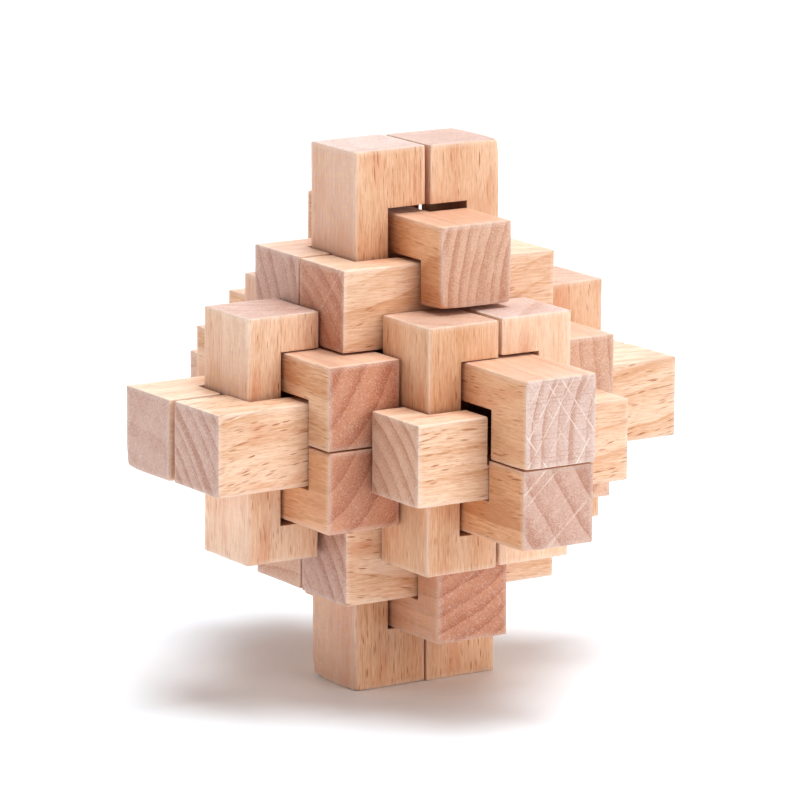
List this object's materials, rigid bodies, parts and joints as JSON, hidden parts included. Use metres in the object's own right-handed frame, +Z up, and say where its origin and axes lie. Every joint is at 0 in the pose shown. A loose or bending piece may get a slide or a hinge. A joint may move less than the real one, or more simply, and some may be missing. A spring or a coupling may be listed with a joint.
{
  "type": "burr puzzle",
  "caption": "Interlocking wooden burr puzzle: notched square bars cross in three directions and hold each other. The key bar slides out endways and the right-hand upright lifts.",
  "frame": {"origin": "under the middle of the puzzle, on the surface that its two long upright bars stand on", "axes": "+X to the right, along the crosswise bars; +Y to the rear, along the key bar; +Z up, along the upright bars"},
  "size_m": [0.0943, 0.0941, 0.0939],
  "materials": {
    "beech_pale": "raw pale beech, sanded and unvarnished, with sawn ends",
    "beech_honey": "raw honey-coloured beech, sanded and unvarnished, with sawn ends",
    "beech_rosy": "raw rosy beech, sanded and unvarnished, with sawn ends"
  },
  "bodies": {
    "puzzle": {"long_upright_left": "beech_honey", "clasp_left": "beech_pale", "clasp_right": "beech_honey", "short_upright_front_left": "beech_rosy", "short_upright_front_right": "beech_pale", "short_upright_rear_left": "beech_honey", "short_upright_rear_right": "beech_honey", "long_crosswise_front": "beech_pale", "long_crosswise_rear": "beech_pale", "clasp_front": "beech_pale", "clasp_rear": "beech_honey", "short_crosswise_upper_front": "beech_honey", "short_crosswise_upper_rear": "beech_honey", "short_crosswise_lower_front": "beech_pale", "short_crosswise_lower_rear": "beech_honey", "long_fore_aft_lower": "beech_rosy", "clasp_upper": "beech_rosy", "clasp_lower": "beech_rosy", "short_fore_aft_left_upper": "beech_rosy", "short_fore_aft_left_lower": "beech_rosy", "short_fore_aft_right_upper": "beech_honey", "short_fore_aft_right_lower": "beech_honey"},
    "key": {"key_bar": "beech_pale"},
    "right_upright": {"long_upright_right": "beech_honey"}
  },
  "joints": [
    {"name": "key_slide", "type": "slide", "parent": "puzzle", "child": "key", "axis": [0, 1, 0], "range_m": [-0.084, 0.084]},
    {"name": "right_upright_lift", "type": "slide", "parent": "puzzle", "child": "right_upright", "axis": [0, 0, 1], "range_m": [0, 0.0353]}
  ]
}
